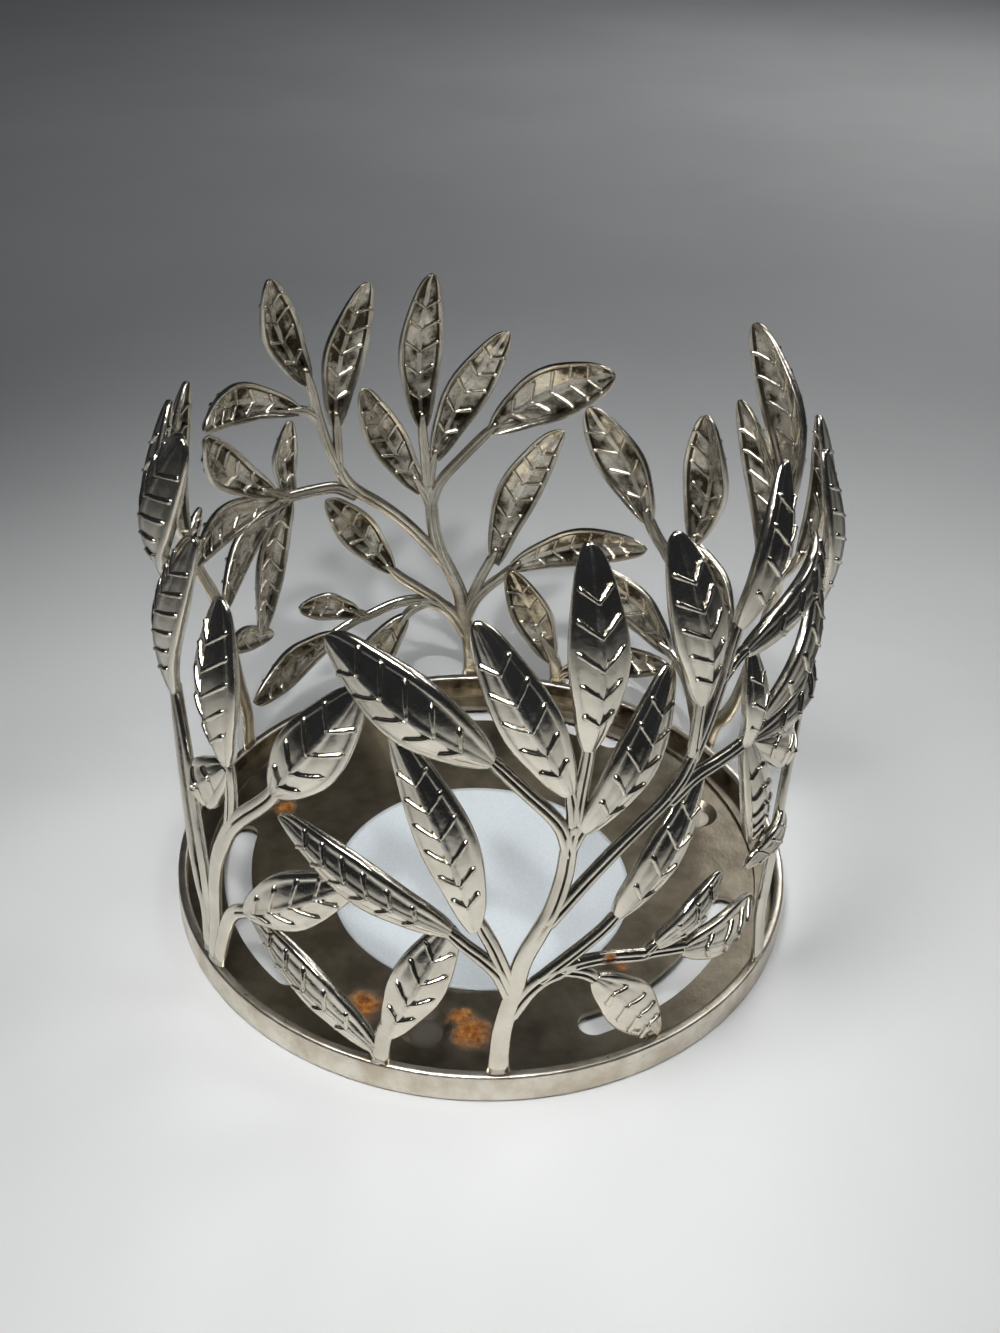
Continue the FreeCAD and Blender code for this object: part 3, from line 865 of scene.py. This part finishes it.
# Near-black colour in the twigs' grooves and the leaves' inner creases: partly patina, partly painted
# shade
GROOVE = plated_metal("groove_patina_and_shade", dark=(0.04, 0.035, 0.025), light=(0.14, 0.12, 0.09),
                      roughness=(0.4, 0.6), pit_strength=0.5, wave_strength=0.3)
BAND = plated_metal("band_plate", dark=(0.56, 0.49, 0.38), light=(0.80, 0.75, 0.66),
                    roughness=(0.20, 0.42), pit_strength=0.6, wave_strength=0.16)
BAND_INSIDE = plated_metal("band_inside", dark=(0.05, 0.04, 0.025), light=(0.42, 0.36, 0.26),
                           roughness=(0.25, 0.5), pit_strength=0.8, wave_strength=0.4)
PLATE = plated_metal("plate_metal", dark=(0.20, 0.17, 0.125), light=(0.33, 0.29, 0.22),
                     roughness=(0.24, 0.40), pit_strength=0.35, wave_strength=0.1,
                     rusty=PLATE_RUST, painted_highlights=FOOT_HIGHLIGHT_PLACES)


# Pieces
def dress(piece, node):
    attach(piece, "root")
    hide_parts(node)


def make_spray(name):
    """Both halves of one spray."""
    skin = Skin()
    table = SPRAY_SHARES[name]
    for places, first_width_share, last_width_share in table["twigs"]:
        add_twig(skin, places, first_width_share, last_width_share)
    for row in table["leaves"]:
        add_leaf(skin, row)
    for half, turn in (("a", 0), ("b", 180)):
        piece = skin.make("%s_casting_%s" % (name, half), (BRIGHT, INSIDE, EDGE, GROOVE), turn)
        dress(piece, "%s_%s" % (name, half))


def make_band():
    """The plain band, turned about the ring's axis, with small round edges and a dark inner face."""
    inner = PLATE_RADIUS
    outer_low = BASE_RADIUS
    outer_high = wall_radius(BAND_TOP)
    turn = BAND_ROUND
    less = BAND_ROUND_SHARE * BAND_ROUND
    profile = [
        (inner, turn),
        (inner + less, less),
        (inner + turn, 0),
        (outer_low - turn, 0),
        (outer_low - less, less),
        (outer_low, turn),
        (between(outer_high, outer_low, 0.5), BAND_TOP / 2),
        (outer_high, BAND_TOP - turn),
        (outer_high - less, BAND_TOP - less),
        (outer_high - turn, BAND_TOP),
        (inner + turn, BAND_TOP),
        (inner + less, BAND_TOP - less),
        (inner, BAND_TOP - turn),
    ]
    count = len(profile)
    points = []
    faces = []
    indices = []
    for i in range(LATHE_STEPS):
        angle = math.tau * i / LATHE_STEPS
        here = i * count
        there = (i + 1) % LATHE_STEPS * count
        for k, (radius, height) in enumerate(profile):
            points.append((radius * math.cos(angle), radius * math.sin(angle), height))
            after = (k + 1) % count
            faces.append((here + k, there + k, there + after, here + after))
            indices.append(1 if k == count - 1 else 0)
    piece = make_piece("band_ring", points, faces, (BAND, BAND_INSIDE), indices)
    dress(piece, "base_band")


def make_label():
    """The blank paper label, a little wavy where it has come loose."""
    centre = (Vector(LABEL_LOW) + Vector(LABEL_HIGH)) / 2
    radius = (LABEL_HIGH[0] - LABEL_LOW[0]) / 2
    points = []
    for top in (False, True):
        for i in range(LABEL_RINGS + 1):
            share = i / LABEL_RINGS
            reach = max(radius * i / LABEL_RINGS, LABEL_LEAST_RADIUS)
            for k in range(LABEL_SIDES):
                angle = math.tau * k / LABEL_SIDES
                height = LABEL_LOW[2] + LABEL_GAP
                if top:
                    wave = LABEL_WAVE * math.sin(LABEL_WAVES * angle + LABEL_WAVE_START) * share ** 3
                    height = LABEL_HIGH[2] + (wave + LABEL_LIFT) * share ** 2
                x = centre.x + reach * math.cos(angle)
                y = centre.y + reach * math.sin(angle)
                points.append((x, y, height))
    layer = (LABEL_RINGS + 1) * LABEL_SIDES
    edge = LABEL_RINGS * LABEL_SIDES
    faces = []
    for a in range(0, edge, LABEL_SIDES):
        b = a + LABEL_SIDES
        for k in range(LABEL_SIDES):
            n = (k + 1) % LABEL_SIDES
            faces.append((a + k, a + n, b + n, b + k))
            faces.append((layer + a + k, layer + b + k, layer + b + n, layer + a + n))
    for k in range(LABEL_SIDES):
        n = (k + 1) % LABEL_SIDES
        faces.append((edge + k, edge + n, layer + edge + n, layer + edge + k))
    faces.append(tuple(range(LABEL_SIDES)))
    faces.append(tuple(layer + k for k in reversed(range(LABEL_SIDES))))
    piece = make_piece("blank_label", points, faces, (paper(),), [0] * len(faces))
    dress(piece, "paper_label")


def dress_plate():
    """The base plate keeps its solid, with a better material."""
    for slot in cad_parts["base_plate"].material_slots:
        slot.material = PLATE


# Floor, light and camera
def make_floor():
    reach = FLOOR_REACH
    mesh = bpy.data.meshes.new("floor")
    mesh.from_pydata([(-reach, -reach, 0), (reach, -reach, 0), (reach, reach, 0), (-reach, reach, 0)], [],
                     [(0, 1, 2, 3)])
    shader = Shader("pale_floor")
    shader.links.new(shader.ramp(shader.noise(CLOUDS), FLOOR_COLOURS), shader.inputs["Base Color"])
    shader.inputs["Roughness"].default_value = FLOOR_ROUGHNESS
    mesh.materials.append(shader.material)
    floor = bpy.data.objects.new("floor", mesh)
    bpy.context.scene.collection.objects.link(floor)


def make_world():
    world = bpy.data.worlds.new("studio")
    world.use_nodes = True
    world.node_tree.nodes["Background"].inputs["Color"].default_value = WORLD_COLOUR
    bpy.context.scene.world = world


def make_lamp(name, place, aim, size, power, spread_angle):
    lamp = bpy.data.lights.new(name, "AREA")
    lamp.shape = "DISK"
    lamp.size = size
    lamp.energy = power
    lamp.spread = math.radians(spread_angle)
    holder = bpy.data.objects.new(name, lamp)
    holder.location = place
    holder.rotation_euler = (Vector(aim) - Vector(place)).to_track_quat("-Z", "Y").to_euler()
    bpy.context.scene.collection.objects.link(holder)


def make_camera():
    data = bpy.data.cameras.new("camera")
    data.lens = CAMERA_LENS
    data.sensor_width = CAMERA_SENSOR
    data.clip_start = CAMERA_NEAREST
    data.clip_end = CAMERA_FARTHEST
    camera = bpy.data.objects.new("camera", data)
    turn = (Matrix.Rotation(math.pi / 2 - CAMERA_ELEVATION, 3, "X") @ Matrix.Rotation(CAMERA_PAN, 3, "Y")
            @ Matrix.Rotation(CAMERA_TILT, 3, "X") @ Matrix.Rotation(CAMERA_ROLL, 3, "Z"))
    camera.rotation_euler = turn.to_euler()
    camera.location = (0, -CAMERA_DISTANCE * math.cos(CAMERA_ELEVATION),
                       CAMERA_DISTANCE * math.sin(CAMERA_ELEVATION))
    bpy.context.scene.collection.objects.link(camera)
    bpy.context.scene.camera = camera


for spray_name in SPRAY_SHARES:
    make_spray(spray_name)
make_band()
make_label()
dress_plate()
make_floor()
make_world()
for lamp_row in LAMPS:
    make_lamp(*lamp_row)
make_camera()
bpy.context.scene.view_settings.view_transform = "Standard"
